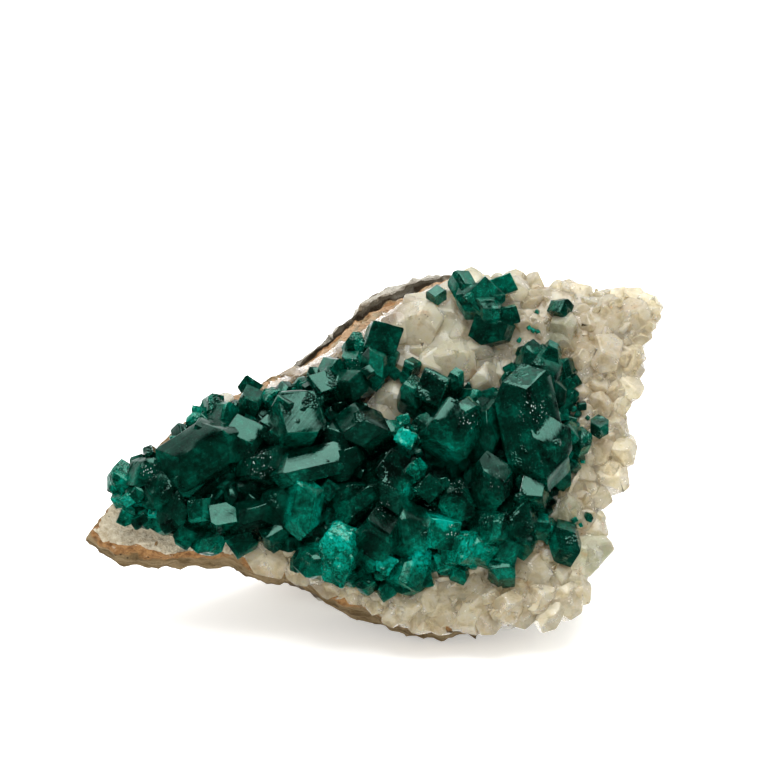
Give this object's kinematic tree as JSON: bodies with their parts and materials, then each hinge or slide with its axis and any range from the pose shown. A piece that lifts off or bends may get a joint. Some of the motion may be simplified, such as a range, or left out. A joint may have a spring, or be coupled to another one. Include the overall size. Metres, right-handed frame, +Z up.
{
  "type": "dioptase mineral specimen",
  "caption": "Raw mineral specimen: dark green six-sided dioptase crystals on a crust of pale quartz points, on a broken piece of brown host rock that rests on its flat underside.",
  "frame": {"origin": "centre of the footprint box, on the ground", "axes": "+X to the right along the long side, -Y towards the viewer of the crystal face, +Z up; the crystal face leans back and looks towards -Y and +Z"},
  "size_m": [0.0944, 0.053, 0.0546],
  "materials": {
    "host_rock": "rough broken rock, brown with rusty and cream bands",
    "quartz": "milky, cream, glossy facets",
    "dioptase": "deep emerald green, glossy facets"
  },
  "bodies": {
    "root": {"host_rock": "host_rock", "quartz_druse": "quartz", "quartz_left_crystal": "quartz", "dioptase_main_cluster": "dioptase", "dioptase_top_cluster": "dioptase", "dioptase_top_crystal": "dioptase", "dioptase_rim_crystal": "dioptase", "dioptase_right_crystal": "dioptase", "dioptase_lower_wedge": "dioptase"}
  },
  "joints": []
}
